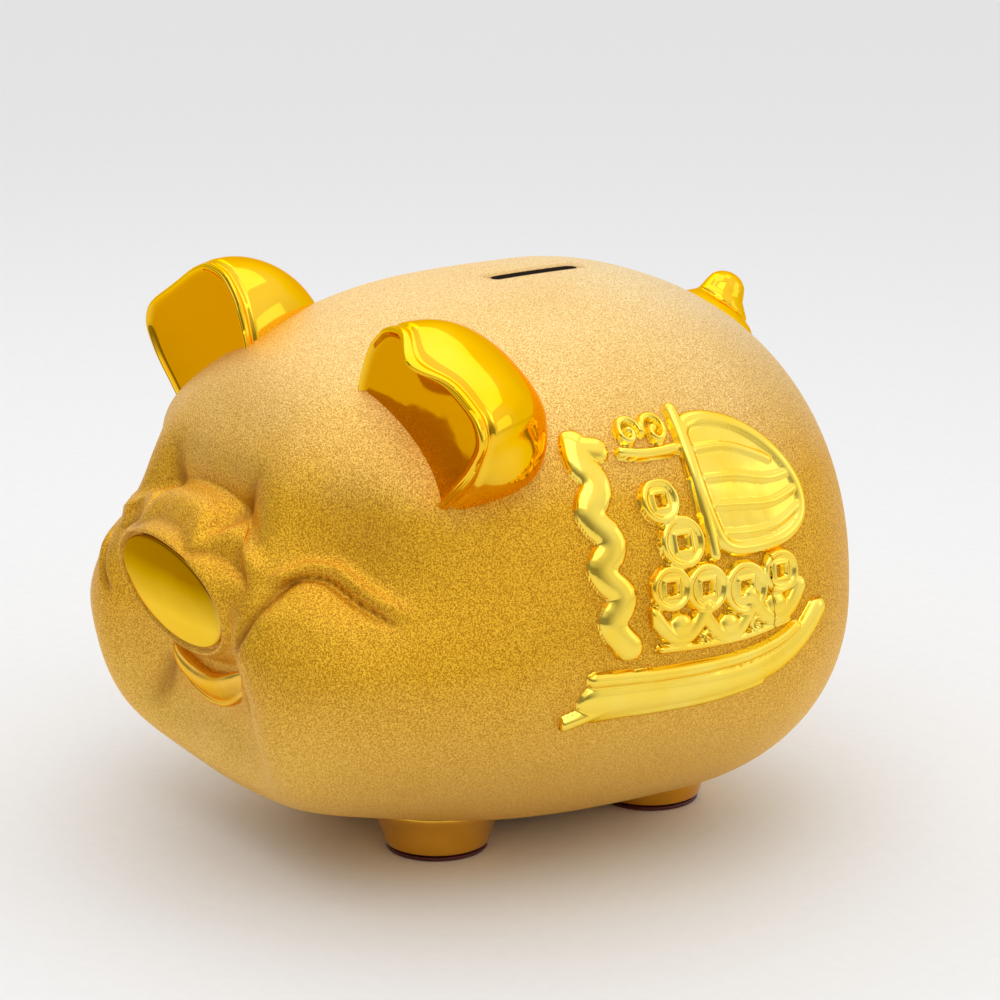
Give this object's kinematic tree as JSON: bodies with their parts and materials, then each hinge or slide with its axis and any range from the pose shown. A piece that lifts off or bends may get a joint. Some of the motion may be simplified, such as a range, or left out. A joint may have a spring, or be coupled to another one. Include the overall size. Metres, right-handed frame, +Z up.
{
  "type": "piggy bank",
  "caption": "Round ceramic piggy bank with a coin slot in its back, domed ears, oval snout, smiling mouth, curled tail, stub feet, raised boat ornaments and a rubber belly stopper.",
  "frame": {"origin": "middle of the bounding box at the floor, under the belly", "axes": "+Z up, -Y the way the pig faces, +X its left flank"},
  "size_m": [0.2214, 0.2233, 0.1764],
  "materials": {
    "sand_gold": "metallic gold glaze, fine sand texture",
    "polished_gold": "mirror-bright metallic gold glaze",
    "satin_gold": "smooth satin metallic gold glaze",
    "maroon_pad": "matte dark maroon rubber",
    "stopper_rubber": "matte black rubber"
  },
  "bodies": {
    "bank": {"body_shell": "sand_gold", "ear_left": "polished_gold", "ear_right": "polished_gold", "snout_disc": "polished_gold", "tail": "polished_gold", "foot_front_left": "polished_gold", "foot_front_right": "polished_gold", "foot_rear_left": "polished_gold", "foot_rear_right": "polished_gold", "mouth": "satin_gold", "pad_front_left": "maroon_pad", "pad_front_right": "maroon_pad", "pad_rear_left": "maroon_pad", "pad_rear_right": "maroon_pad", "relief_left_hull": "polished_gold", "relief_left_ribbon": "polished_gold", "relief_left_sail": "polished_gold", "relief_left_hoard": "polished_gold", "relief_right_hull": "polished_gold", "relief_right_ribbon": "polished_gold", "relief_right_sail": "polished_gold", "relief_right_hoard": "polished_gold"},
    "stopper": {"stopper": "stopper_rubber"}
  },
  "joints": [
    {"name": "stopper_slide", "type": "slide", "parent": "bank", "child": "stopper", "axis": [0, 0, -1], "range_m": [0, 0.016]}
  ]
}
